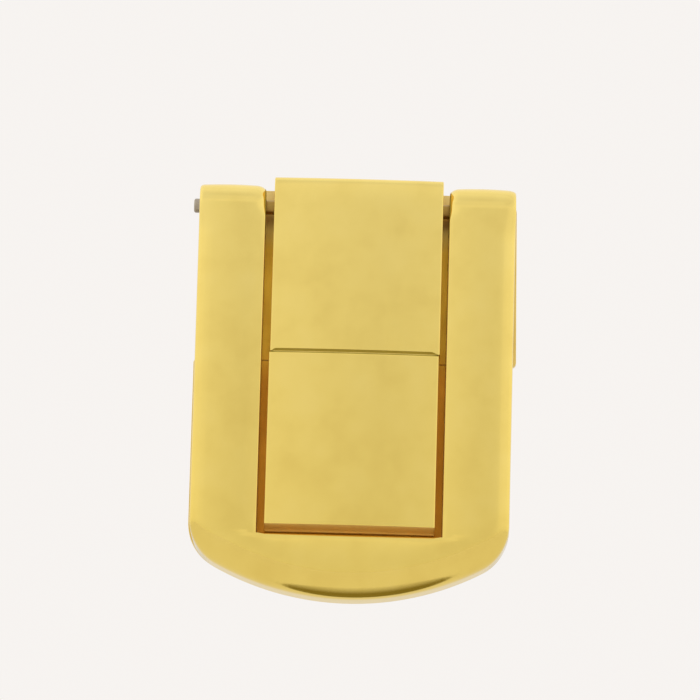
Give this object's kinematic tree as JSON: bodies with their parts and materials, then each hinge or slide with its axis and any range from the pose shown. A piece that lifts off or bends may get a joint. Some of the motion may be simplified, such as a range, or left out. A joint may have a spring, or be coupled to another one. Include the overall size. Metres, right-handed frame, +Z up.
{
  "type": "swing-over box catch",
  "caption": "Surface-mounted swing-over box catch: U-shaped drop lever hinged on a lid half closes over a raised block on the body half.",
  "frame": {"origin": "on the body plate's back face, on the catch's middle line, 9 mm below the parting line", "axes": "+X to the right seen from the front, +Y from the front to the wall it is screwed to, +Z up to the lid half and the hinge"},
  "size_m": [0.0342, 0.0135, 0.0445],
  "materials": {
    "polished_brass": "polished and lacquered",
    "plate_brass": "satin",
    "screw_brass": "satin",
    "pin_steel": "plain, slightly tarnished",
    "spring_steel": "bright spring steel"
  },
  "bodies": {
    "halves": {"lid_plate": "plate_brass", "lid_block": "polished_brass", "lid_rivet_left": "plate_brass", "lid_rivet_right": "plate_brass", "lid_screw_inner_left": "screw_brass", "lid_screw_inner_right": "screw_brass", "lid_screw_outer_left": "screw_brass", "lid_screw_outer_right": "screw_brass", "hinge_pin": "pin_steel", "body_plate": "plate_brass", "body_block": "polished_brass", "body_rivet_left": "plate_brass", "body_rivet_right": "plate_brass", "body_screw_inner_left": "screw_brass", "body_screw_inner_right": "screw_brass", "body_screw_outer_left": "screw_brass", "body_screw_outer_right": "screw_brass", "spring_clip": "spring_steel", "clip_rivet": "plate_brass"},
    "drop_lever": {"lever": "polished_brass", "snap_stud": "spring_steel"}
  },
  "joints": [
    {"name": "lever_swing", "type": "hinge", "parent": "halves", "child": "drop_lever", "pos_m": [0, -0.0036, 0.02485], "axis": [-1, 0, 0], "range_deg": [0, 180]}
  ]
}
